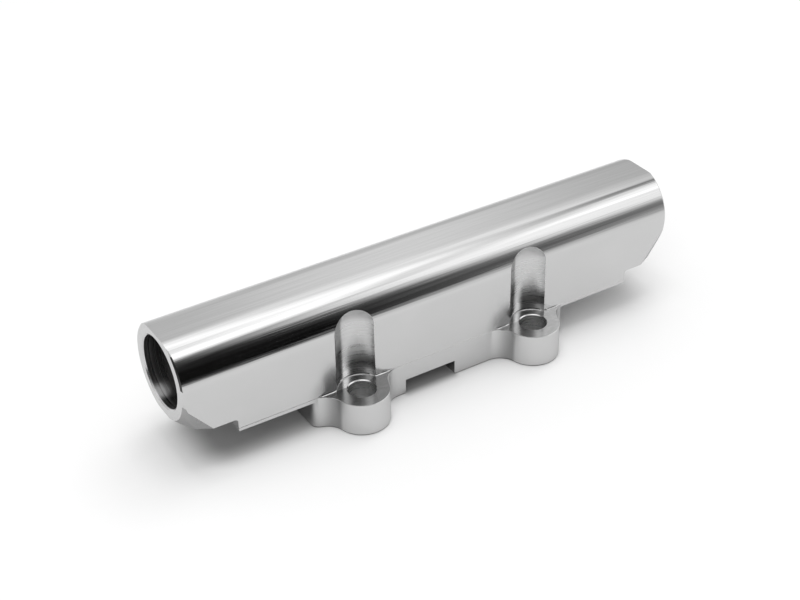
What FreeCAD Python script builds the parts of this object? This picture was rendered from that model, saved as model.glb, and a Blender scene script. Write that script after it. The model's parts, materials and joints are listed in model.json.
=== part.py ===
import FreeCAD, Part
import math
import os

# Fuel rail machined from one piece of aluminium, in millimetres
# X runs along the rail, Z is up and the bolt lugs are on the front, at -Y
# The origin is midway between the two bolt holes, on the face that the rail stands on
# The pieces are drawn about the bore axis, and the finished rail is then moved to that origin

# Barrel: a round bar with a flat land on top and flat front and back faces
RAIL_LENGTH = 148.0
BARREL_RADIUS = 12.7
TOP_LAND_HEIGHT = 11.15
TOP_LAND_BLEND = 8.0
FRONT_FACE_DEPTH = 12.6
FRONT_BAND_DEPTH = 12.7
BACK_FACE_DEPTH = 12.6
LEFT_END_CHAMFER = 0.4
RIGHT_END_CHAMFER = 0.7

# Depths of the stepped underside below the bore axis
END_UNDERSIDE_DEPTH = 11.9
SKIRT_DEPTH = 15.7
NOTCH_ROOF_DEPTH = 19.9
FOOT_DEPTH = 24.2

# Lengths of the stepped underside
SKIRT_LENGTH = 120.4
SKIRT_ROOT_RADIUS = 1.0
FOOT_LENGTH = 78.8
FOOT_CORNER_RADIUS = 2.6
NOTCH_WIDTH = 15.2
NOTCH_OFFSET = 4.3

# Oblique facets on the lower corners of the two ends
LEFT_FACET_TOP_DEPTH = 3.3
LEFT_FACET_RUN = 7.2
RIGHT_FACET_TOP_DEPTH = 1.8
RIGHT_FACET_RUN = 8.0
FACET_INSET = 4.1

# Bolt lugs
BOLT_SPACING = 53.5
BOLT_LINE_DEPTH = 15.3
BOLT_HOLE_DIAMETER = 7.2
HOLE_EDGE_BREAK = 0.25
LUG_RADIUS = 7.25
LUG_ROOT_RADIUS = 5.5
LUG_THICKNESS = 9.4

# Tool channel above each lug, with a ball end
CHANNEL_RADIUS = 6.3
CHANNEL_BALL_HEIGHT = 1.75

# Fuel ways
GALLERY_DIAMETER = 14.0
PORT_DIAMETER = 19.1
PORT_DEPTH = 15.0
PORT_MOUTH_CHAMFER = 0.4
INJECTOR_SPACING = 100.0
INJECTOR_CUP_DIAMETER = 14.0
INJECTOR_CUP_CHAMFER = 0.8

# Length by which a cutting body runs past the face that it opens
OVERRUN = 5.0

HALF_LENGTH = RAIL_LENGTH / 2
LUG_TOP_DEPTH = FOOT_DEPTH - LUG_THICKNESS
BOLT_XS = (-BOLT_SPACING / 2, BOLT_SPACING / 2)
INJECTOR_XS = (-INJECTOR_SPACING / 2, INJECTOR_SPACING / 2)


def vec(x, y, z):
    return FreeCAD.Vector(x, y, z)


X_AXIS = vec(1, 0, 0)
Z_AXIS = vec(0, 0, 1)


def block(x_min, x_max, y_min, y_max, z_min, z_max):
    """Box between two corners."""
    return Part.makeBox(x_max - x_min, y_max - y_min, z_max - z_min, vec(x_min, y_min, z_min))


def barrel():
    """Round bar with the land on top, blended into the round, and cut flat front, back and under."""
    blend_z = TOP_LAND_HEIGHT - TOP_LAND_BLEND
    blend_y = math.sqrt((BARREL_RADIUS - TOP_LAND_BLEND) ** 2 - blend_z ** 2)
    tangent = math.atan2(blend_z, blend_y)
    upright = math.pi / 2

    def on_round(angle):
        return vec(-HALF_LENGTH, BARREL_RADIUS * math.cos(angle), BARREL_RADIUS * math.sin(angle))

    def on_blend(side, angle):
        y = side * (blend_y + TOP_LAND_BLEND * math.cos(angle))
        return vec(-HALF_LENGTH, y, blend_z + TOP_LAND_BLEND * math.sin(angle))

    def blend(side, first, last):
        return Part.Arc(on_blend(side, first), on_blend(side, (first + last) / 2), on_blend(side, last))

    curves = [
        Part.Arc(on_round(math.pi - tangent), on_round(-upright), on_round(tangent)),
        blend(1, tangent, upright),
        Part.LineSegment(on_blend(1, upright), on_blend(-1, upright)),
        blend(-1, upright, tangent),
    ]
    section = Part.Face(Part.Wire([curve.toShape() for curve in curves]))
    bar = section.extrude(vec(RAIL_LENGTH, 0, 0))
    return bar.common(slab(HALF_LENGTH, BARREL_RADIUS, END_UNDERSIDE_DEPTH))


def slab(half_length, height, depth, front=FRONT_FACE_DEPTH):
    """Block between the front and back faces, from a height above to a depth below the bore axis."""
    return block(-half_length, half_length, -front, BACK_FACE_DEPTH, -depth, height)


def round_between(centre, first, last):
    """Arc about a centre, the short way from one point to another."""
    towards = (first - centre).normalize() + (last - centre).normalize()
    return Part.Arc(first, centre + towards.normalize() * (first - centre).Length, last)


def is_upright(edge):
    """True for an edge that runs straight up."""
    first, last = edge.Vertexes[0].Point, edge.Vertexes[-1].Point
    return abs(first.x - last.x) < 1e-6 and abs(first.y - last.y) < 1e-6


def is_skirt_root(edge):
    """True for the two edges where the skirt meets the underside of an end."""
    box = edge.BoundBox
    level = box.XLength < 1e-6 and box.ZLength < 1e-6
    at_step = abs(abs(box.Center.x) - SKIRT_LENGTH / 2) < 1e-6
    return level and at_step and abs(box.Center.z + END_UNDERSIDE_DEPTH) < 1e-6


def lower_body():
    """The body below the bore axis: ends, longer skirt and foot, each deeper than the one before."""
    ends = slab(HALF_LENGTH, 0, END_UNDERSIDE_DEPTH)
    skirt = slab(SKIRT_LENGTH / 2, 0, SKIRT_DEPTH)
    stepped = ends.fuse(skirt).removeSplitter()
    stepped = stepped.makeFillet(SKIRT_ROOT_RADIUS, [e for e in stepped.Edges if is_skirt_root(e)])
    foot = slab(FOOT_LENGTH / 2, 0, FOOT_DEPTH, FRONT_BAND_DEPTH)
    foot = foot.makeFillet(FOOT_CORNER_RADIUS, [e for e in foot.Edges if is_upright(e)])
    # The rounded corners of the foot stay below the skirt
    foot = foot.common(slab(HALF_LENGTH, -SKIRT_DEPTH, FOOT_DEPTH, FRONT_BAND_DEPTH))
    # Up to the tops of the lugs the front stands a hair proud, as a band along the edge of the skirt
    band = slab(SKIRT_LENGTH / 2, -LUG_TOP_DEPTH, SKIRT_DEPTH, FRONT_BAND_DEPTH)
    return stepped.fuse([foot, band])


def lug(bolt_x):
    """Round lug on the front, with a hollow curve on each side, and the corner of the foot beyond it."""
    face_y = -FRONT_BAND_DEPTH
    lug_y = -BOLT_LINE_DEPTH
    root_y = face_y - LUG_ROOT_RADIUS
    reach = math.sqrt((LUG_RADIUS + LUG_ROOT_RADIUS) ** 2 - (root_y - lug_y) ** 2)
    share = LUG_RADIUS / (LUG_RADIUS + LUG_ROOT_RADIUS)
    # The corner of the foot is a round that the outer hollow curve runs into
    outer = math.copysign(1, bolt_x)
    end_x = FOOT_LENGTH / 2 - abs(bolt_x)
    corner_x = end_x - FOOT_CORNER_RADIUS
    between = LUG_ROOT_RADIUS + FOOT_CORNER_RADIUS
    corner_y = root_y + math.sqrt(between ** 2 - (corner_x - reach) ** 2)
    meet_x = reach + (corner_x - reach) * LUG_ROOT_RADIUS / between
    meet_y = root_y + (corner_y - root_y) * LUG_ROOT_RADIUS / between

    def at(side, x, y):
        return vec(bolt_x + side * x, y, -FOOT_DEPTH)

    def join(side):
        return at(side, reach * share, lug_y + (root_y - lug_y) * share)

    def hollow(side, end):
        return round_between(at(side, reach, root_y), join(side), end)

    curves = [
        Part.Arc(join(-1), at(1, 0, lug_y - LUG_RADIUS), join(1)),
        hollow(-outer, at(-outer, reach, face_y)),
        Part.LineSegment(at(-outer, reach, face_y), at(-outer, reach, 0)),
        hollow(outer, at(outer, meet_x, meet_y)),
        round_between(at(outer, corner_x, corner_y), at(outer, meet_x, meet_y), at(outer, end_x, corner_y)),
        Part.LineSegment(at(outer, end_x, corner_y), at(outer, end_x, 0)),
        Part.LineSegment(at(outer, end_x, 0), at(-outer, reach, 0)),
    ]
    edges = Part.sortEdges([curve.toShape() for curve in curves])[0]
    return Part.Face(Part.Wire(edges)).extrude(vec(0, 0, LUG_THICKNESS))


def notch():
    """Gap across the foot, a little left of its middle."""
    left = -NOTCH_OFFSET - NOTCH_WIDTH / 2
    front = -FRONT_BAND_DEPTH - OVERRUN
    back = BACK_FACE_DEPTH + OVERRUN
    return block(left, left + NOTCH_WIDTH, front, back, -FOOT_DEPTH - OVERRUN, -NOTCH_ROOF_DEPTH)


def bolt_ways(bolt_x):
    """Bolt hole with broken edges, and the tool channel with its ball end."""
    narrow = BOLT_HOLE_DIAMETER / 2
    wide = narrow + HOLE_EDGE_BREAK

    def on_line(height):
        return vec(bolt_x, -BOLT_LINE_DEPTH, height)

    return [
        Part.makeCylinder(narrow, LUG_THICKNESS, on_line(-FOOT_DEPTH)),
        Part.makeCone(wide, narrow, HOLE_EDGE_BREAK, on_line(-FOOT_DEPTH)),
        Part.makeCone(narrow, wide, HOLE_EDGE_BREAK, on_line(-LUG_TOP_DEPTH - HOLE_EDGE_BREAK)),
        Part.makeCylinder(CHANNEL_RADIUS, LUG_TOP_DEPTH + CHANNEL_BALL_HEIGHT, on_line(-LUG_TOP_DEPTH)),
        Part.makeSphere(CHANNEL_RADIUS, on_line(CHANNEL_BALL_HEIGHT)),
    ]


def ports(side):
    """Wide port with a chamfered mouth at one end of the gallery."""
    face = vec(side * HALF_LENGTH, 0, 0)
    inward = vec(-side, 0, 0)
    radius = PORT_DIAMETER / 2
    return [
        Part.makeCylinder(radius, PORT_DEPTH, face, inward),
        Part.makeCone(radius + PORT_MOUTH_CHAMFER, radius, PORT_MOUTH_CHAMFER, face, inward),
    ]


def injector_cup(x):
    """Upright bore from the underside of the skirt into the gallery, with a chamfered mouth."""
    mouth = vec(x, 0, -SKIRT_DEPTH)
    radius = INJECTOR_CUP_DIAMETER / 2
    return [
        Part.makeCylinder(radius, SKIRT_DEPTH, mouth),
        Part.makeCone(radius + INJECTOR_CUP_CHAMFER, radius, INJECTOR_CUP_CHAMFER, mouth),
    ]


def end_trim(side, chamfer):
    """What the chamfer turned about the bore axis takes off one end."""
    ring = BARREL_RADIUS - chamfer
    reach = FOOT_DEPTH
    end = vec(side * HALF_LENGTH, 0, 0)
    inward = vec(-side, 0, 0)
    stock = Part.makeCylinder(ring + reach, reach, end, inward)
    return stock.cut(Part.makeCone(ring, ring + reach, reach, end, inward))


def corner_facet(side, face, top_depth, run):
    """Wedge beyond the oblique facet on the lower corner of one end, on the front or the back."""
    depth = face * (FRONT_FACE_DEPTH if face < 0 else BACK_FACE_DEPTH)
    end_x = side * HALF_LENGTH
    high = vec(end_x, depth, -top_depth)
    low = vec(end_x - side * run, depth, -END_UNDERSIDE_DEPTH)
    inner = vec(end_x, depth - face * FACET_INSET, -END_UNDERSIDE_DEPTH)
    outward = (low - high).cross(inner - high)
    if outward.x * side < 0:
        outward = outward * -1
    size = BARREL_RADIUS * 2
    wedge = Part.makeBox(size, size, size, vec(-size / 2, -size / 2, 0))
    wedge.Placement = FreeCAD.Placement(high, FreeCAD.Rotation(Z_AXIS, outward))
    return wedge


def rail_body():
    """The whole rail as one solid."""
    solid = barrel().fuse([lower_body()] + [lug(x) for x in BOLT_XS]).removeSplitter()
    tools = [notch(), Part.makeCylinder(GALLERY_DIAMETER / 2, RAIL_LENGTH, vec(-HALF_LENGTH, 0, 0), X_AXIS)]
    for x in BOLT_XS:
        tools += bolt_ways(x)
    for x in INJECTOR_XS:
        tools += injector_cup(x)
    for side, chamfer in ((-1, LEFT_END_CHAMFER), (1, RIGHT_END_CHAMFER)):
        tools += ports(side)
        tools.append(end_trim(side, chamfer))
    for face in (-1, 1):
        tools.append(corner_facet(-1, face, LEFT_FACET_TOP_DEPTH, LEFT_FACET_RUN))
        tools.append(corner_facet(1, face, RIGHT_FACET_TOP_DEPTH, RIGHT_FACET_RUN))
    for tool in tools:
        solid = solid.cut(tool)
    solid = solid.removeSplitter()
    solid.translate(vec(0, BOLT_LINE_DEPTH, FOOT_DEPTH))
    return solid


def save(name, shape):
    """Writes one piece to its own file."""
    print(name, "solids", len(shape.Solids), "valid", shape.isValid(), "volume", round(shape.Volume, 1))
    shape.Solids[0].exportStep("parts/" + name + ".step")


os.makedirs("parts", exist_ok=True)
save("rail_body", rail_body())
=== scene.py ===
# %% [markdown]
# # A one-piece fuel rail
# The rail carries fuel along an engine to its injectors. It is milled from a single bar of aluminium, so it is one
# solid: this lesson gives that solid its finish and builds the studio around it.
# The frame holds the solid in metres. Nothing here moves or resizes it.

# %% Load the frame
import bpy
import json
import math
from mathutils import Matrix, Vector


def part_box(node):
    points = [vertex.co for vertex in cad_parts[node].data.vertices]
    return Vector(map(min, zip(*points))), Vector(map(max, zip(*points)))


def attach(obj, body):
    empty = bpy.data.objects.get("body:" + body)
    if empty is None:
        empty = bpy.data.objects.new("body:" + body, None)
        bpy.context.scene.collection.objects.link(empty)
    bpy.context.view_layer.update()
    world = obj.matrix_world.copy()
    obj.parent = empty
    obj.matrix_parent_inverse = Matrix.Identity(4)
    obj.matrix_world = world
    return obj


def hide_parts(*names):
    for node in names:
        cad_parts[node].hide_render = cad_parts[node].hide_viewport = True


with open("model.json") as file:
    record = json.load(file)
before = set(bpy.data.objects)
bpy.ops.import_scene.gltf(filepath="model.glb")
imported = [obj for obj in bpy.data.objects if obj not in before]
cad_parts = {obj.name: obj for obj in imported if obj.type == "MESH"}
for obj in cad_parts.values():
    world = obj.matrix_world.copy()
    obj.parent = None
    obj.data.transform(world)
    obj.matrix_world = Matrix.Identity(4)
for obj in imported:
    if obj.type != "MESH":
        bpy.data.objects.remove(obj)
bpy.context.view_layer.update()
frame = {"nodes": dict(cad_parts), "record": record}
MM = 0.001
mounts = {mount["name"]: mount for mount in frame["record"]["mounts"]}
rail_low, rail_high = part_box("rail_body")
print("rail from", tuple(rail_low), "to", tuple(rail_high))

# %% [markdown]
# ## Where things are on the rail
# The places below come from the frame: the bore axis is the axis of the two end ports, and the bolt line runs
# through the two bolt holes, along X through the origin.

# %% Places on the rail
BORE_Y = mounts["left_port"]["pos_m"][1]
BORE_Z = mounts["left_port"]["pos_m"][2]
PORT_RADIUS = mounts["left_port"]["dims"]["r_mm"] * MM
CUP_RADIUS = mounts["left_injector"]["dims"]["r_mm"] * MM
CUP_X = mounts["right_injector"]["pos_m"][0]
BOLT_SPACING = mounts["bolts"]["dims"]["spacing_x_mm"] * MM
BOLT_HOLE_RADIUS = mounts["bolts"]["dims"]["hole_r_mm"] * MM
BOLT_XS = (-BOLT_SPACING / 2, BOLT_SPACING / 2)
FRONT_Y = 2.7 * MM
print("bore axis at y", BORE_Y, "z", BORE_Z)

# %% [markdown]
# ## The camera
# The photograph was taken with a short telephoto lens, from the left and above. The camera is given by where it
# stands, the two angles it looks along and a slight roll, as read off a tripod head.

# %% The camera
CAMERA_PLACE = Vector((-180.7, -266.3, 241.4)) * MM
CAMERA_HEADING = math.radians(31.89)
CAMERA_DOWNWARD = math.radians(33.74)
CAMERA_ROLL = math.radians(-0.94)
LENS_MM = 68.58
SENSOR_MM = 36.0
NEAREST_SEEN = 0.01

camera = bpy.data.objects.new("camera", bpy.data.cameras.new("camera"))
bpy.context.scene.collection.objects.link(camera)
turn = Matrix.Rotation(-CAMERA_HEADING, 4, "Z")
tilt = Matrix.Rotation(math.pi / 2 - CAMERA_DOWNWARD, 4, "X")
camera.matrix_world = Matrix.Translation(CAMERA_PLACE) @ turn @ tilt @ Matrix.Rotation(CAMERA_ROLL, 4, "Z")
camera.data.sensor_width = SENSOR_MM
camera.data.lens = LENS_MM
camera.data.clip_start = NEAREST_SEEN
bpy.context.scene.camera = camera
print("camera at", tuple(round(v, 3) for v in camera.matrix_world.translation))

# %% [markdown]
# ## Helpers for node trees
# A material is a small network of nodes. These helpers add a node, join two sockets and do sums, so that each
# material below reads as a list of what it mixes. A value may be a plain number or the output of another node.


# %% Node helpers
def join(tree, source, target):
    """Joins an output socket to an input socket."""
    tree.links.new(source, target)


def feed(tree, value, target):
    """Gives an input socket a plain number or the output of another node."""
    if isinstance(value, (int, float)):
        target.default_value = value
    else:
        join(tree, value, target)


def add_node(tree, kind, **values):
    """Adds a node and sets its properties and the values of its inputs by name."""
    node = tree.nodes.new(kind)
    for name, value in values.items():
        if name in node.inputs:
            node.inputs[name].default_value = value
        else:
            setattr(node, name, value)
    return node


def math_node(tree, operation, *values):
    """A sum, product or other simple operation on one or two values."""
    node = add_node(tree, "ShaderNodeMath", operation=operation)
    for socket, value in zip(node.inputs, values):
        feed(tree, value, socket)
    return node.outputs[0]


def map_range(tree, value, start, end, first, last, smooth=False):
    """Number that goes from first to last while a value goes from start to end."""
    node = add_node(tree, "ShaderNodeMapRange", interpolation_type="SMOOTHSTEP" if smooth else "LINEAR")
    for name, number in zip(("From Min", "From Max", "To Min", "To Max"), (start, end, first, last)):
        feed(tree, number, node.inputs[name])
    join(tree, value, node.inputs["Value"])
    return node.outputs[0]


def mix_values(tree, factor, first, second):
    """Mixes two values by a factor."""
    node = add_node(tree, "ShaderNodeMix", data_type="FLOAT")
    for name, value in (("Factor", factor), ("A", first), ("B", second)):
        feed(tree, value, node.inputs[name])
    return node.outputs["Result"]


def split_place(tree, socket="Object"):
    """X, Y and Z of a place on the piece, or of a direction in the world."""
    parts = add_node(tree, "ShaderNodeSeparateXYZ")
    join(tree, add_node(tree, "ShaderNodeTexCoord").outputs[socket], parts.inputs[0])
    return parts.outputs


# %% [markdown]
# ## The studio
# Polished metal shows little colour of its own: what it shows is the room. A product studio is lit with cards and
# strip lamps, long and parallel to the bar, and black flags between them give the metal its dark bands.
# The world below is such a room. Each card stands at an angle round the rail, from the wall behind (0 degrees) over
# the ceiling (90) to the front (180). It isn't quite parallel to the rail, so its angle and its brightness change
# from left to right. A flag takes brightness away.

# %% The cards
# Each card: its angle at the left and at the right end, its brightness there, half its width and its soft edge
CARDS = {
    "leaning strip": ((118.6, 89.0), (1.17, -0.52), 2.2, 15.1),
    "front card": ((141.9, 145.5), (0.47, -0.75), 13.1, 22.1),
    "rear strip": ((57.8, 98.6), (0.48, 0.22), 4.7, 32.7),
    "front strip": ((118.0, 135.4), (0.48, 0.48), 9.4, 13.8),
    "rear wash": ((1.3, 72.0), (0.46, 0.10), 6.7, 45.0),
    "key light": ((83.8, 139.9), (0.86, 0.50), 10.8, 35.6),
    "ceiling": ((95.7, 24.4), (0.36, 0.30), 13.5, 45.0),
    "glint": ((129.3, 183.8), (0.01, 0.07), 0.0, 14.4),
    "low card": ((159.7, 140.5), (0.38, 0.34), 14.2, 16.9),
    "thin strip": ((52.3, 80.1), (-0.05, 0.14), 0.3, 9.1),
    "ceiling flag": ((92.7, 90.0), (-0.55, 0.28), 18.2, 29.5),
    "front flag": ((144.4, 136.8), (-1.00, 0.24), 24.9, 21.9),
}
CARD_ENDS = (0.28, 0.59)
ROOM_BASE = 0.163
DARKEST = 0.004


def add_cards(tree, angle, along):
    """Brightness of all the cards at an angle round the rail, for a direction along it."""
    light = ROOM_BASE
    for angles, levels, half_width, edge in CARDS.values():
        middle = map_range(tree, along, *CARD_ENDS, *angles)
        level = map_range(tree, along, *CARD_ENDS, *levels)
        away = math_node(tree, "ABSOLUTE", math_node(tree, "SUBTRACT", angle, middle))
        card = map_range(tree, away, half_width, half_width + edge, level, 0.0, smooth=True)
        light = math_node(tree, "ADD", light, card)
    return math_node(tree, "MAXIMUM", light, DARKEST)


print("cards:", ", ".join(CARDS))

# %% [markdown]
# ## The world
# The world is the room with its cards and two end walls, each paler towards the ceiling. Real cards could be
# modelled as glowing planes, but they would have to be hidden from the camera and would light the floor as well.
# Here Light Path tells the rays apart: the metal sees the room, the matt floor gets an even fill, so that its shadow
# stays clean, and the camera sees plain white.

# %% The room that the metal reflects
ROOM_SPAN = (20, 178)
SIDE_DIRECTION = (0.66, 0.90)
SIDE_HEIGHT = (0.15, 0.65)
SIDE_WALLS = {-1: (0.02, 1.05), 1: (0.70, 1.40)}
ROOM_FILL = 0.87


def build_room():
    """World whose brightness depends on the direction looked in, and which is plain white to the camera."""
    world = bpy.data.worlds.new("studio")
    bpy.context.scene.world = world
    world.use_nodes = True
    tree = world.node_tree
    tree.nodes.clear()
    along, back, up = split_place(tree, "Generated")
    turned = math_node(tree, "ARCTAN2", math_node(tree, "MAXIMUM", up, 0.0), back)
    degrees = math_node(tree, "MULTIPLY", turned, math.degrees(1))
    held = math_node(tree, "MINIMUM", math_node(tree, "MAXIMUM", degrees, ROOM_SPAN[0]), ROOM_SPAN[1])
    shade = add_cards(tree, held, along)
    for side, tones in SIDE_WALLS.items():
        wall = map_range(tree, up, *SIDE_HEIGHT, *tones, smooth=True)
        sideways = map_range(tree, math_node(tree, "MULTIPLY", along, side), *SIDE_DIRECTION, 0.0, 1.0)
        shade = mix_values(tree, sideways, shade, wall)
    rays = add_node(tree, "ShaderNodeLightPath")
    room = add_node(tree, "ShaderNodeBackground", Strength=1.0)
    join(tree, mix_values(tree, rays.outputs["Is Glossy Ray"], ROOM_FILL, shade), room.inputs["Color"])
    white = add_node(tree, "ShaderNodeBackground", Color=(1, 1, 1, 1), Strength=1.0)
    shown = add_node(tree, "ShaderNodeMixShader")
    join(tree, rays.outputs["Is Camera Ray"], shown.inputs[0])
    join(tree, room.outputs[0], shown.inputs[1])
    join(tree, white.outputs[0], shown.inputs[2])
    output = add_node(tree, "ShaderNodeOutputWorld")
    join(tree, shown.outputs[0], output.inputs["Surface"])
    return tree


print("world:", len(build_room().nodes), "nodes")

# %% [markdown]
# ## The painted shadow under the rail
# The rail stands on a white sweep. The lamps throw its shadow, but the metal also sees the sweep. So a shadow is
# also painted into the sheet's colour, darker close to the rail and in the notch. It could be painted by hand, but
# is worked out here from the distance to the foot.

# %% The painted shadow on the sheet
# Places and sizes are in millimetres
UNDER_HALF = {"X": 60, "Y": 4}
UNDER_REACH = (2, 12.5)
UNDER_SIDES = (0, 40)
UNDER_SHADOW_TONES = (0.31, 0.80)
NOTCH_X = -4.3
NOTCH_ACROSS = (7, 9)
NOTCH_DEEP = (11.5, 15)
NOTCH_SHADOW_TONE = 0.45


def in_metres(sizes):
    """Sizes in millimetres, turned into metres."""
    return [size * MM for size in sizes]


def painted_shadow_under_rail(tree, place):
    """Painted shadow on the sheet, darker where the rail shades it and growing white away from it."""
    beyond = []
    for name, half in UNDER_HALF.items():
        outside = math_node(tree, "SUBTRACT", math_node(tree, "ABSOLUTE", place[name]), half * MM)
        beyond.append(math_node(tree, "POWER", math_node(tree, "MAXIMUM", outside, 0.0), 2.0))
    away = math_node(tree, "SQRT", math_node(tree, "ADD", *beyond))
    low = map_range(tree, place["X"], *in_metres(UNDER_SIDES), *UNDER_SHADOW_TONES)
    shaded = map_range(tree, away, *in_metres(UNDER_REACH), low, 1.0, smooth=True)
    from_notch = math_node(tree, "ABSOLUTE", math_node(tree, "SUBTRACT", place["X"], NOTCH_X * MM))
    notch = map_range(tree, from_notch, *in_metres(NOTCH_ACROSS), NOTCH_SHADOW_TONE, 1.0, smooth=True)
    from_bore = math_node(tree, "ABSOLUTE", place["Y"])
    inside = map_range(tree, from_bore, *in_metres(NOTCH_DEEP), notch, 1.0, smooth=True)
    return math_node(tree, "MULTIPLY", shaded, inside)


print("shade round the foot, in metres:", in_metres(UNDER_REACH))

# %% [markdown]
# ## The floor
# The sheet is matt paint. The camera sees it white, and the metal sees it greyer and falling off far in front, most
# of all to the left, where the room is dark. A faint glow lifts the white where the sheet is looked at.

# %% The floor
FLOOR_SIZE = 3.0
FLOOR_WHITE = 0.80
FLOOR_IN_METAL = 0.56
FLOOR_GLOW = 0.02
FLOOR_FADE = (-0.29, -0.08)
LEAST_FORWARD = 1 * MM
FAR_SIDES = (0.2, 0.8)
FAR_TONES = (0.02, 0.36)


def sheet_in_metal(tree, place):
    """Tone of the sheet as the metal sees it, which falls far in front and most of all to the left."""
    forward = math_node(tree, "MAXIMUM", math_node(tree, "MULTIPLY", place["Y"], -1.0), LEAST_FORWARD)
    sideways = math_node(tree, "DIVIDE", place["X"], forward)
    far = map_range(tree, sideways, *FAR_SIDES, *FAR_TONES, smooth=True)
    return map_range(tree, place["Y"], *FLOOR_FADE, far, FLOOR_IN_METAL, smooth=True)


def floor_material():
    """Matt white paint with a tone by place, and a faint glow where it is looked at."""
    material = bpy.data.materials.new("white_sweep")
    material.use_nodes = True
    tree = material.node_tree
    tree.nodes.clear()
    paint = add_node(tree, "ShaderNodeBsdfDiffuse")
    glow = add_node(tree, "ShaderNodeEmission", Color=(1, 1, 1, 1))
    rays = add_node(tree, "ShaderNodeLightPath").outputs
    place = split_place(tree)
    tone = mix_values(tree, rays["Is Glossy Ray"], FLOOR_WHITE, sheet_in_metal(tree, place))
    # The painted shadow under the rail darkens the sheet's colour
    join(tree, math_node(tree, "MULTIPLY", tone, painted_shadow_under_rail(tree, place)), paint.inputs["Color"])
    seen = math_node(tree, "MAXIMUM", rays["Is Camera Ray"], rays["Is Transmission Ray"])
    join(tree, math_node(tree, "MULTIPLY", seen, FLOOR_GLOW), glow.inputs["Strength"])
    both = add_node(tree, "ShaderNodeAddShader")
    join(tree, paint.outputs[0], both.inputs[0])
    join(tree, glow.outputs[0], both.inputs[1])
    output = add_node(tree, "ShaderNodeOutputMaterial")
    join(tree, both.outputs[0], output.inputs["Surface"])
    return material


bpy.ops.object.select_all(action="DESELECT")
bpy.ops.mesh.primitive_plane_add(size=FLOOR_SIZE, location=(0, BORE_Y, rail_low.z))
floor = bpy.context.active_object
floor.name = "floor"
floor.data.materials.append(floor_material())
print("floor at z", floor.location.z)

# %% [markdown]
# ## The lamps
# Broad soft lamps light the floor and throw the soft shadow under the rail. Each is given by the direction it
# stands in, as degrees round from the back and degrees up, and by its power in watts. They are left out of the
# reflections, because the cards of the room are already there.

# %% The lamps
LAMP_SIZE = 0.45
LAMP_DISTANCE = 1.0
LAMPS = ((0, 90, 2.46), (60, 60, 1.28), (225, 35, 1.6))


def add_lamp(heading, height, power):
    """Square soft lamp that faces the rail."""
    lamp = bpy.data.objects.new("soft_lamp", bpy.data.lights.new("soft_lamp", "AREA"))
    bpy.context.scene.collection.objects.link(lamp)
    lamp.data.size = LAMP_SIZE
    lamp.data.energy = power
    turned, rise = math.radians(heading), math.radians(height)
    away = Vector((math.sin(turned) * math.cos(rise), math.cos(turned) * math.cos(rise), math.sin(rise)))
    lamp.location = Vector((0, BORE_Y, rail_low.z)) + away * LAMP_DISTANCE
    lamp.rotation_euler = away.to_track_quat("Z", "Y").to_euler()
    lamp.visible_glossy = False
    return lamp


for lamp_values in LAMPS:
    print("lamp at", tuple(round(v, 2) for v in add_lamp(*lamp_values).location))

# %% [markdown]
# ## Grain and rings
# A cutter leaves fine parallel lines, and a light polish leaves hair-thin scratches along the bar. Both are long in
# one direction and short in the others, so one effect serves for all: noise on coordinates squeezed along the grain.
# A lathe or a boring tool leaves rings instead, so the second effect is noise on the distance from the bore axis.
# Each effect is a node group, built once, because several finishes use it with their own number of lines.


# %% Grain and rings as node groups
def new_group(name, inputs, outputs):
    """Empty node group with named vectors going in and named numbers coming out."""
    group = bpy.data.node_groups.new(name, "ShaderNodeTree")
    for label in inputs:
        group.interface.new_socket(label, in_out="INPUT", socket_type="NodeSocketVector")
    for label in outputs:
        group.interface.new_socket(label, in_out="OUTPUT", socket_type="NodeSocketFloat")
    return group


def put_out(group, **values):
    """Joins values to the group's outputs of the same names."""
    outside = add_node(group, "NodeGroupOutput")
    for name, value in values.items():
        join(group, value, outside.inputs[name])
    return group


def vector_node(tree, operation, first, second):
    """A sum or product of two vectors, the second one a socket or three plain numbers."""
    node = add_node(tree, "ShaderNodeVectorMath", operation=operation)
    join(tree, first, node.inputs[0])
    if isinstance(second, tuple):
        node.inputs[1].default_value = second
    else:
        join(tree, second, node.inputs[1])
    return node.outputs[0]


def lined_noise(group, place):
    """Noise on a place, with the group's number of lines per metre along each axis."""
    lines = add_node(group, "NodeGroupInput").outputs["Lines"]
    noise = add_node(group, "ShaderNodeTexNoise", Scale=1.0, Detail=2.5, Roughness=0.5)
    join(group, vector_node(group, "MULTIPLY", place, lines), noise.inputs["Vector"])
    return noise.outputs[0]


def build_grain_group():
    """Noise drawn out along one direction."""
    group = new_group("machined grain", ["Lines"], ["Grain"])
    place = add_node(group, "ShaderNodeTexCoord").outputs["Object"]
    return put_out(group, Grain=lined_noise(group, place))


def build_rings_group():
    """Rings about the bore axis: the lines are along the axis, outwards and none."""
    group = new_group("turned rings", ["Lines"], ["Grain"])
    place = add_node(group, "ShaderNodeTexCoord").outputs["Object"]
    centred = vector_node(group, "SUBTRACT", place, (0, BORE_Y, BORE_Z))
    radius = add_node(group, "ShaderNodeVectorMath", operation="LENGTH")
    join(group, vector_node(group, "MULTIPLY", centred, (0, 1, 1)), radius.inputs[0])
    parts = add_node(group, "ShaderNodeSeparateXYZ")
    join(group, centred, parts.inputs[0])
    ring = add_node(group, "ShaderNodeCombineXYZ")
    join(group, parts.outputs["X"], ring.inputs["X"])
    join(group, radius.outputs["Value"], ring.inputs["Y"])
    return put_out(group, Grain=lined_noise(group, ring.outputs[0]))


grain_group = build_grain_group()
rings_group = build_rings_group()
print("groups:", grain_group.name, "and", rings_group.name)
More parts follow.
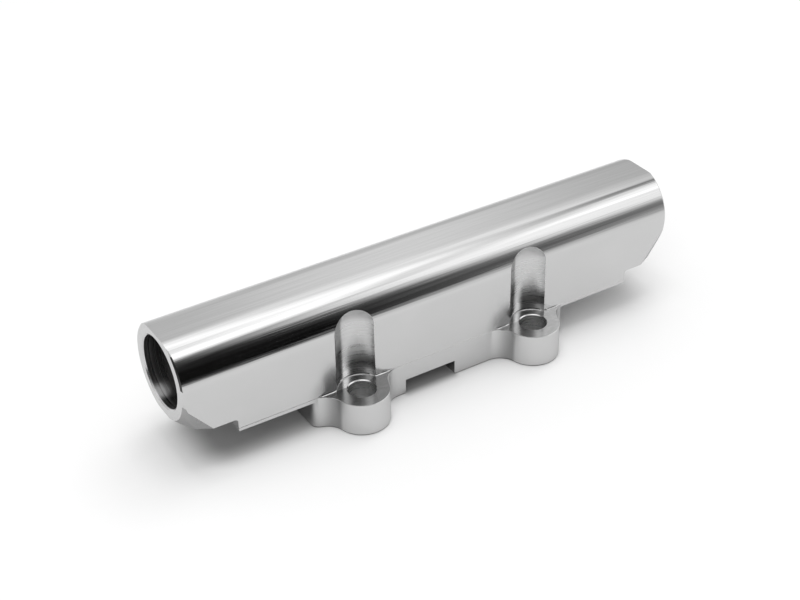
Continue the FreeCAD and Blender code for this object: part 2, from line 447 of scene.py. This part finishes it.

# %% [markdown]
# ## The channels' painted reflections
# A channel's wall is painted darker along its left side, as a painted dark reflection, and low down, as a painted
# reflection of the lug below it, and a little lighter elsewhere. This could be left to the reflections alone, but at
# this size they come out too even. A group of masks by place sets these painted tones, and it makes the ball end
# coarser, where the cutter turned round.

# %% Painted reflections in the channels
# Places across are in radii from the channel's middle, and places up are in millimetres
CHANNEL_RADIUS = 6.3 * MM
STRIP_EDGE = (-0.42, -0.26)
STRIP_RISE = (14.0, 22.0)
STRIP_REFLECTION_TONES = (0.32, 0.55)
WALL_REFLECTION_TONE = 1.2
PATCH_EDGE = (-0.1, 0.2)
PATCH_RISE = (13.0, 17.5)
PATCH_PAINTED_DARKNESS = 0.62
BALL_RISE = (25.0, 28.5)
BALL_COARSENESS = 2.2


def from_bolt(group, x):
    """Distance along X from the nearer bolt hole, negative on its left."""
    bolt = math_node(group, "MULTIPLY", math_node(group, "SIGN", x), BOLT_SPACING / 2)
    return math_node(group, "SUBTRACT", x, bolt)


def build_channel_painted_reflections():
    """Painted reflections on a channel wall, darker along its left side and low down, and its coarseness."""
    group = new_group("channel painted reflections", [], ["Tone", "Coarseness"])
    place = split_place(group)
    across = math_node(group, "DIVIDE", from_bolt(group, place["X"]), CHANNEL_RADIUS)
    strip = map_range(group, place["Z"], *in_metres(STRIP_RISE), *STRIP_REFLECTION_TONES, smooth=True)
    side = map_range(group, across, *STRIP_EDGE, strip, WALL_REFLECTION_TONE, smooth=True)
    middle = map_range(group, across, *PATCH_EDGE, 0.0, PATCH_PAINTED_DARKNESS, smooth=True)
    low = map_range(group, place["Z"], *in_metres(PATCH_RISE), 1.0, 0.0, smooth=True)
    painted_dark = math_node(group, "SUBTRACT", 1.0, math_node(group, "MULTIPLY", middle, low))
    coarse = map_range(group, place["Z"], *in_metres(BALL_RISE), 1.0, BALL_COARSENESS, smooth=True)
    return put_out(group, Tone=math_node(group, "MULTIPLY", side, painted_dark), Coarseness=coarse)


channel_painted_reflections = build_channel_painted_reflections()
print("channel painted reflections:", len(channel_painted_reflections.nodes), "nodes")

# %% [markdown]
# ## The lugs' painted shade
# A lug's wall is painted darker, as painted shade, where the round lug runs into its hollow left root, and a fine
# dark line of painted shade stands where the wall leaves the lug again on the right. The lugs' tops are painted
# dark as well, darker on the left lug than on the right one.

# %% Painted shade on the lugs
# Places are in millimetres, those along the rail from the nearer bolt hole
ROOT_FADE = (-11.0, -7.4)
ROOT_SHADE_TONE = 0.55
LUG_EDGE = (-7.3, -6.9)
LINE_PLACE = 7.06
LINE_WIDTH = (0.05, 0.3)
LINE_SHADE_TONE = 0.7
TOP_SIDES = (-10.0, 10.0)
TOP_SHADE_TONES = (1.0, 1.5)
LEDGE_EDGE = (2.5, 2.58)
LEDGE_SHADE_TONE = 1.95


def build_lug_painted_shade():
    """Painted shade on a lug's wall."""
    group = new_group("lug painted shade", [], ["Tone"])
    across = from_bolt(group, split_place(group)["X"])
    fading = map_range(group, across, *in_metres(ROOT_FADE), 1.0, ROOT_SHADE_TONE, smooth=True)
    lug = map_range(group, across, *in_metres(LUG_EDGE), 0.0, 1.0, smooth=True)
    left = mix_values(group, lug, fading, 1.0)
    from_line = math_node(group, "ABSOLUTE", math_node(group, "SUBTRACT", across, LINE_PLACE * MM))
    line = map_range(group, from_line, *in_metres(LINE_WIDTH), LINE_SHADE_TONE, 1.0, smooth=True)
    return put_out(group, Tone=math_node(group, "MULTIPLY", left, line))


def build_top_painted_shade():
    """Painted shade on the lugs' tops, lighter on the right lug and on the narrow ledge behind them."""
    group = new_group("lug top painted shade", [], ["Tone"])
    place = split_place(group)
    lug = map_range(group, place["X"], *in_metres(TOP_SIDES), *TOP_SHADE_TONES)
    return put_out(group, Tone=map_range(group, place["Y"], *in_metres(LEDGE_EDGE), lug, LEDGE_SHADE_TONE))


lug_painted_shade = build_lug_painted_shade()
top_painted_shade = build_top_painted_shade()
print("lug painted shade:", len(lug_painted_shade.nodes), "and", len(top_painted_shade.nodes), "nodes")

# %% [markdown]
# ## The front's painted reflections
# Beside each channel the flat front is painted darker and made a little rougher: the darkness is a painted
# reflection of the dark top of the lug below it. The patch is an ellipse that fades outwards, drawn from the
# distance to its middle.

# %% Painted reflections on the flat front
# Places and sizes on the front are in millimetres
PATCH_ASIDE = 7.0
PATCH_UP = 10.5
PATCH_HALF = (7.5, 6.5)
PATCH_FADE = (0.1, 1.0)
PATCH_REFLECTION_TONE = 0.5
PATCH_COARSENESS = 1.3
FRONT_DEEP = (FRONT_Y + 1 * MM, FRONT_Y + 2 * MM)


def painted_lug_reflection(group, x, z, bolt_x):
    """Painted reflection on the front beside one channel."""
    along = math_node(group, "SUBTRACT", x, bolt_x - PATCH_ASIDE * MM)
    up = math_node(group, "SUBTRACT", z, PATCH_UP * MM)
    squares = []
    for way, half in zip((along, up), PATCH_HALF):
        share = math_node(group, "DIVIDE", way, half * MM)
        squares.append(math_node(group, "POWER", math_node(group, "ABSOLUTE", share), 2.0))
    away = math_node(group, "SQRT", math_node(group, "ADD", *squares))
    return map_range(group, away, *PATCH_FADE, PATCH_REFLECTION_TONE, 1.0, smooth=True)


def build_front_painted_reflections():
    """Tone of the milled faces, with a painted reflection on the front beside the two channels."""
    group = new_group("front painted reflections", [], ["Tone", "Coarseness"])
    x, y, z = split_place(group)
    patches = [painted_lug_reflection(group, x, z, bolt_x) for bolt_x in BOLT_XS]
    tone = map_range(group, y, *FRONT_DEEP, math_node(group, "MULTIPLY", *patches), 1.0)
    return put_out(group, Tone=tone, Coarseness=map_range(group, tone, 0.0, 1.0, PATCH_COARSENESS, 1.0))


front_painted_reflections = build_front_painted_reflections()
print("front painted reflections:", len(front_painted_reflections.nodes), "nodes")

# %% [markdown]
# ## The bore's painted light
# The port's wall is painted dark, as painted shade inside the bore, and a soft patch of painted light lies just
# inside its mouth, low down at the front. The angle round the bore axis and the depth from the left end mark the
# place of that painted light.

# %% Painted light in the bore
SHEEN_TURN = math.radians(-65)
SHEEN_HALF = (0.05, 0.35)
SHEEN_DEPTH = (1.0, 6.0)
PAINTED_SHEEN_TONE = 2.6
SHEEN_COARSENESS = 2.2


def build_bore_painted_light():
    """Painted light and coarseness of the bore wall, both greater on a patch just inside the left mouth."""
    group = new_group("bore painted light", [], ["Tone", "Coarseness"])
    x, y, z = split_place(group)
    outward = math_node(group, "SUBTRACT", y, BORE_Y)
    upward = math_node(group, "SUBTRACT", z, BORE_Z)
    turned = math_node(group, "SUBTRACT", math_node(group, "ARCTAN2", upward, outward), SHEEN_TURN)
    near = map_range(group, math_node(group, "ABSOLUTE", turned), *SHEEN_HALF, 1.0, 0.0, smooth=True)
    depth = math_node(group, "SUBTRACT", x, rail_low.x)
    early = map_range(group, depth, *in_metres(SHEEN_DEPTH), 1.0, 0.0, smooth=True)
    patch = math_node(group, "MULTIPLY", near, early)
    coarse = mix_values(group, patch, 1.0, SHEEN_COARSENESS)
    return put_out(group, Tone=mix_values(group, patch, 1.0, PAINTED_SHEEN_TONE), Coarseness=coarse)


bore_painted_light = build_bore_painted_light()
print("bore painted light:", len(bore_painted_light.nodes), "nodes")

# %% [markdown]
# ## Bright machined aluminium
# The same metal has several finishes on the rail. The barrel is polished lengthwise and the flat faces are milled
# bright. The lug tops, the corner facets, the foot's broken edge, the left chamfer and the bores are painted darker,
# as painted shade, and some finishes carry painted shade, painted reflections or painted light by place. The tool
# channels keep the steps of a ball cutter, and the bores have rings from the boring tool. One function makes them
# all, from how grey and how rough the metal is and from the marks that the tool left.

# %% The metal's finishes
BRIGHT = 0.83
MARK_RANGE = (0.3, 0.7)


def aluminium(name, grey, roughness, marks, lines, depth, spread=0.25, tones=0.04, places=None):
    """Bare aluminium whose marks show in its relief, its roughness and, faintly, its tone."""
    material = bpy.data.materials.new(name)
    material.use_nodes = True
    tree = material.node_tree
    metal = tree.nodes["Principled BSDF"]
    metal.inputs["Metallic"].default_value = 1.0
    mark = add_node(tree, "ShaderNodeGroup", node_tree=marks, Lines=lines).outputs["Grain"]
    tone = map_range(tree, mark, *MARK_RANGE, grey * (1 - tones), grey * (1 + tones))
    rough = map_range(tree, mark, *MARK_RANGE, roughness * (1 - spread), roughness * (1 + spread))
    # places adds painted shade, painted reflections or painted light by place, and sometimes roughness
    if places:
        area = add_node(tree, "ShaderNodeGroup", node_tree=places).outputs
        tone = math_node(tree, "MULTIPLY", tone, area["Tone"])
        if "Coarseness" in area:
            rough = math_node(tree, "MULTIPLY", rough, area["Coarseness"])
    join(tree, tone, metal.inputs["Base Color"])
    join(tree, rough, metal.inputs["Roughness"])
    relief = add_node(tree, "ShaderNodeBump", Strength=1.0, Distance=depth)
    join(tree, mark, relief.inputs["Height"])
    join(tree, relief.outputs[0], metal.inputs["Normal"])
    return material


FINISHES = {
    "barrel": aluminium("polished_barrel", BRIGHT, 0.08, grain_group, (40, 2400, 2400), 1.5e-5, spread=0.5),
    "milled": aluminium("milled_face", BRIGHT, 0.24, grain_group, (60, 60, 90), 0.0, spread=0.06, tones=0.02,
                        places=front_painted_reflections),
    "channel": aluminium("ball_milled_channel", 0.72, 0.30, grain_group, (50, 50, 1500), 3e-6, tones=0.06,
                         places=channel_painted_reflections),
    # Painted shade: the lug tops' low grey, shaped by the lugs' painted shade group
    "lug_top": aluminium("faced_lug_top_painted_shade", 0.42, 0.20, grain_group, (500, 1600, 500), 4e-6, tones=0.10,
                         places=top_painted_shade),
    "lug_wall": aluminium("profiled_lug_wall", BRIGHT, 0.24, grain_group, (120, 120, 60), 0.0, spread=0.08,
                          tones=0.03, places=lug_painted_shade),
    # Painted shade: the facets' low grey stands for the shadowed floor that they reflect
    "facet": aluminium("milled_facet_painted_shade", 0.52, 0.30, grain_group, (400, 400, 150), 1e-6, spread=0.1,
                       tones=0.05),
    # Painted shadow: the foot's broken edge is near black, as the contact shadow
    "foot_break": aluminium("foot_edge_painted_shadow", 0.12, 0.40, grain_group, (900, 900, 300), 2e-6),
    "end": aluminium("turned_end", BRIGHT, 0.22, rings_group, (300, 3500, 0), 3e-6),
    # Painted shade: the chamfer facing the front at the left end is near black
    "dark_chamfer": aluminium("turned_chamfer_painted_shade", 0.10, 0.30, rings_group, (300, 3500, 0), 2e-6),
    "hole": aluminium("drilled_hole", 0.72, 0.30, grain_group, (150, 150, 2600), 6e-6, tones=0.15),
    # Painted shade: the bore wall's low grey, with painted light near the left mouth
    "bore": aluminium("bored_wall_painted_shade", 0.40, 0.30, rings_group, (2600, 60, 0), 6e-6, tones=0.3,
                      places=bore_painted_light),
}
NAMES = list(FINISHES)
print("finishes:", NAMES)

# %% [markdown]
# ## The dressed rail
# The frame's mesh is loose triangles. A copy is merged into one skin, and the triangles of each flat face are
# joined, so that edges can be picked and bevelled as by hand. The copy stands for the frame's node, in its place.

# %% A merged copy
FLAT_ANGLE = math.radians(0.3)
MERGE_DISTANCE = 0.002 * MM


def edit(piece, mode):
    """Makes a piece the active one, alone selected, in a mode."""
    if bpy.context.object and bpy.context.object.mode != "OBJECT":
        bpy.ops.object.mode_set(mode="OBJECT")
    bpy.ops.object.select_all(action="DESELECT")
    piece.select_set(True)
    bpy.context.view_layer.objects.active = piece
    bpy.ops.object.mode_set(mode=mode)


def merged_copy(node_name, piece_name):
    """Copy of a node of the frame as one skin with whole flat faces."""
    piece = bpy.data.objects.new(piece_name, frame["nodes"][node_name].data.copy())
    bpy.context.scene.collection.objects.link(piece)
    edit(piece, "EDIT")
    bpy.ops.mesh.select_all(action="SELECT")
    bpy.ops.mesh.remove_doubles(threshold=MERGE_DISTANCE)
    bpy.ops.mesh.customdata_custom_splitnormals_clear()
    bpy.ops.mesh.dissolve_limited(angle_limit=FLAT_ANGLE)
    bpy.ops.object.mode_set(mode="OBJECT")
    piece.data.materials.clear()
    return piece


rail = merged_copy("rail_body", "dressed_rail_body")
print("merged rail:", len(rail.data.vertices), "corners,", len(rail.data.polygons), "faces")

# %% [markdown]
# ## Broken edges
# Every machined edge is broken a little by hand, with a fine file or a scraper, so that it neither cuts nor bruises.
# The narrow bevel catches the light as a thin line. A bevel modifier would break all edges alike, so the edges are
# picked by where they are instead: the outline of the foot, the rims of the channels and the notch, and the lugs'
# rims. The same tool, used in an inner corner, makes the small fillet that a cutter's rounded tip leaves.

# %% Ways to pick and bevel edges
NEAR = 0.05 * MM
SHARP_ANGLE = math.radians(28)


def pick_edges(piece, wanted):
    """Selects the sharp edges whose middle is wanted, ready to edit, and counts them."""
    edit(piece, "EDIT")
    bpy.ops.mesh.select_mode(type="EDGE")
    bpy.ops.mesh.select_all(action="DESELECT")
    bpy.ops.mesh.edges_select_sharp(sharpness=SHARP_ANGLE)
    bpy.ops.object.mode_set(mode="OBJECT")
    corners = piece.data.vertices
    picked = 0
    for edge in piece.data.edges:
        middle = (corners[edge.vertices[0]].co + corners[edge.vertices[1]].co) / 2
        edge.select = edge.select and wanted(middle)
        picked += edge.select
    for face in piece.data.polygons:
        face.select = False
    bpy.ops.object.mode_set(mode="EDIT")
    return picked


def break_edges(piece, wanted, width, steps=2):
    """Bevels the sharp edges whose middle is wanted."""
    picked = pick_edges(piece, wanted)
    bpy.ops.mesh.bevel(offset=width, segments=steps, affect="EDGES", clamp_overlap=False)
    bpy.ops.object.mode_set(mode="OBJECT")
    print("bevelled", picked, "edges by", round(width / MM, 2), "mm")


print("sharp means over", round(math.degrees(SHARP_ANGLE)), "degrees")

# %% [markdown]
# ## The corner behind the lugs
# The long straight corner between the lugs' tops and the flat front is one edge, whose middle is far from both lugs.
# It is subdivided first, so that only the short stretches at the lugs get a fillet later.

# %% Cuts in the long corner
LUG_TOP_Z = 9.4 * MM
CORNER_CUTS = 31


def at_lug_top(place):
    """At the height of the lugs' tops."""
    return abs(place.z - LUG_TOP_Z) < NEAR


def is_lug_line(place):
    """On the straight corner between the lug tops and the flat front."""
    return at_lug_top(place) and abs(place.y - FRONT_Y) < NEAR


print("lug corner edges:", pick_edges(rail, is_lug_line))
bpy.ops.mesh.subdivide(number_cuts=CORNER_CUTS)
bpy.ops.object.mode_set(mode="OBJECT")

# %% [markdown]
# ## The foot, the skirt and the channels
# The foot's outline gets the heaviest break, as the rail was stood on it. The rims of the channels and the notch and
# the lower edge of the skirt get a fine one.

# %% Bevels along the body
FOOT_BREAK = 0.34 * MM
FINE_BREAK = 0.13 * MM
SKIRT_Z = 8.5 * MM
NOTCH_ROOF_Z = 4.3 * MM


def to_bolts(place):
    """Distance of a place from the nearer bolt axis."""
    return min(math.hypot(place.x - x, place.y) for x in BOLT_XS)


def is_foot_edge(place):
    """On the outline that the rail stands on, but not on a bolt hole."""
    return place.z < rail_low.z + NEAR and to_bolts(place) > BOLT_HOLE_RADIUS + 1 * MM


def is_fine_edge(place):
    """On the rim of a channel or the notch, or along the lower edge of the skirt."""
    outside = place.y < FRONT_Y + NEAR or place.y > rail_high.y - NEAR
    above_lug = place.y > FRONT_Y - NEAR and place.z > LUG_TOP_Z + 0.3 * MM
    channel_rim = above_lug and abs(to_bolts(place) - CHANNEL_RADIUS) < NEAR
    skirt_edge = outside and abs(place.z - SKIRT_Z) < NEAR
    notch_edge = outside and NEAR < place.z - rail_low.z < NOTCH_ROOF_Z + NEAR
    return channel_rim or skirt_edge or notch_edge


break_edges(rail, is_foot_edge, FOOT_BREAK)
break_edges(rail, is_fine_edge, FINE_BREAK)

# %% [markdown]
# ## The lugs' rims and corners
# The lugs' upper rims are rounded in one step more, as they shine towards the camera. The corner where a lug's top
# meets the wall gets the small fillet of the cutter's rounded tip.

# %% Bevels at the lugs
CORNER_FILLET = 0.3 * MM
RIM_BREAK = 0.14 * MM
LUG_CORNER = (6.7 * MM, 10.6 * MM)


def is_inner_corner(place):
    """In the corner where a lug's top meets the channel wall or the flat front."""
    on_wall = abs(to_bolts(place) - CHANNEL_RADIUS) < NEAR and place.y > FRONT_Y + 0.6 * MM
    on_front = abs(place.y - FRONT_Y) < NEAR and LUG_CORNER[0] < to_bolts(place) < LUG_CORNER[1]
    return at_lug_top(place) and (on_wall or on_front)


def is_lug_rim(place):
    """On the upper rim of a lug, in front of the flat front."""
    in_front = place.y < FRONT_Y - 0.9 * MM
    return at_lug_top(place) and in_front and to_bolts(place) > BOLT_HOLE_RADIUS + 1 * MM


break_edges(rail, is_lug_rim, RIM_BREAK, 3)
break_edges(rail, is_inner_corner, CORNER_FILLET)

# %% [markdown]
# ## Which finish goes where
# A face's finish follows from its place and its normal, as picking some hundred faces by hand would have to be done
# again after every change. Inwards near the bore axis it is bore wall, inside a channel's cylinder it is channel
# wall, and at the height of a lug's top it is lug.

# %% Bore and lug faces
LUG_REACH = 14 * MM


def is_bore(middle, normal):
    """On the wall of the ports, the gallery or the injector cups."""
    out = Vector((0, middle.y - BORE_Y, middle.z - BORE_Z))
    inwards = out.dot(normal) < 0 or abs(normal.x) > 0.5
    in_bore = out.length < PORT_RADIUS + 0.1 * MM and inwards and abs(middle.x) < rail_high.x - NEAR
    to_cup = math.hypot(abs(middle.x) - CUP_X, middle.y - BORE_Y)
    in_cup = abs(normal.z) < 0.9 and to_cup < CUP_RADIUS + 1 * MM and middle.z < BORE_Z
    return in_bore or in_cup


def lug_finish(middle, normal):
    """Finish of a face at a lug or its channel, or nothing elsewhere."""
    rise = middle.z - LUG_TOP_Z
    if 0.01 * MM < rise < CORNER_FILLET and 0.15 < normal.z < 0.99:
        return "barrel"
    if to_bolts(middle) < CHANNEL_RADIUS + NEAR and rise > NEAR:
        return "channel"
    in_front = to_bolts(middle) < LUG_REACH and middle.y < FRONT_Y - 0.15 * MM
    if rise < -NEAR and abs(normal.z) < 0.1 and in_front:
        return "lug_wall"
    if abs(rise) < NEAR and normal.z > 0.9 and abs(middle.y - FRONT_Y) > 0.2 * MM:
        return "lug_top"
    return None


print("bore faces:", sum(is_bore(face.center, face.normal) for face in rail.data.polygons))

# %% [markdown]
# ## The ends and the rest
# The ends are turned, with the chamfer on the side away from the lamps painted darker, as its shade, and the lower
# corners are facets. Above the crease, where the round runs into the flat front, the face is barrel, and whatever is
# left is milled.

# %% Finishes by place
CREASE_Z = BORE_Z + 1.59 * MM
FACET_Z = BORE_Z - 3.3 * MM
FACET_X = 61.2 * MM
CHAMFER_REACH = 1.2 * MM
CHAMFER_TURN = math.radians(40)
END_RING_RADIUS = 10 * MM


def to_bore(place):
    """Distance of a place from the bore axis."""
    return math.hypot(place.y - BORE_Y, place.z - BORE_Z)


def end_finish(middle, normal):
    """Finish of a face at either end, or nothing elsewhere."""
    if abs(middle.x) < rail_high.x - CHAMFER_REACH or abs(normal.x) < 0.6:
        return None
    chamfer = to_bore(middle) > END_RING_RADIUS and abs(normal.x) < 0.95
    if chamfer and middle.z < FACET_Z:
        return "facet"
    forward = math.atan2(-normal.y, normal.z) > CHAMFER_TURN and middle.z > CREASE_Z
    return "dark_chamfer" if chamfer and forward and middle.x < 0 else "end"


def finish_of(middle, normal):
    """Name of the finish of a face, from its middle and its normal."""
    if abs(normal.z) < 0.5 and to_bolts(middle) < BOLT_HOLE_RADIUS + NEAR:
        return "hole"
    if is_bore(middle, normal):
        return "bore"
    if lug_finish(middle, normal):
        return lug_finish(middle, normal)
    # The foot's broken edge carries the painted contact shadow
    if middle.z < FOOT_BREAK and -0.95 < normal.z < -0.1:
        return "foot_break"
    if end_finish(middle, normal):
        return end_finish(middle, normal)
    if abs(middle.x) > FACET_X and normal.z < -0.15 and normal.y > -0.97 and middle.z < BORE_Z:
        return "facet"
    if middle.z > CREASE_Z - NEAR and abs(normal.x) < 0.5:
        return "barrel"
    return "milled"


for material in FINISHES.values():
    rail.data.materials.append(material)
counts = dict.fromkeys(NAMES, 0)
for face in rail.data.polygons:
    name = finish_of(face.center, face.normal)
    face.material_index = NAMES.index(name)
    counts[name] += 1
print("faces by finish:", counts)

# %% [markdown]
# ## Shading
# Round faces are shaded smooth, and edges stay crisp, above all where one finish ends and another starts.
# Weighting the normals by area keeps the flat faces truly flat where a round runs into them.

# %% Smooth rounds and crisp edges
EDGE_ANGLE = math.radians(24)


def sharpen_borders(piece):
    """Marks the edges between faces of different finishes as sharp, and counts them."""
    finishes = {}
    for face in piece.data.polygons:
        for key in face.edge_keys:
            finishes.setdefault(key, set()).add(face.material_index)
    borders = [edge for edge in piece.data.edges if len(finishes[edge.key]) > 1]
    for edge in borders:
        edge.use_edge_sharp = True
    return len(borders)


print("sharp borders:", sharpen_borders(rail), "edges")
edit(rail, "OBJECT")
bpy.ops.object.shade_smooth_by_angle(angle=EDGE_ANGLE)
weighted = rail.modifiers.new("weighted", "WEIGHTED_NORMAL")
weighted.keep_sharp = True
bpy.ops.object.modifier_apply(modifier=weighted.name)
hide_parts("rail_body")
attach(rail, "root")
print("dressed rail:", len(rail.data.polygons), "faces")

# %% The view and the end
bpy.context.scene.view_settings.view_transform = "Standard"
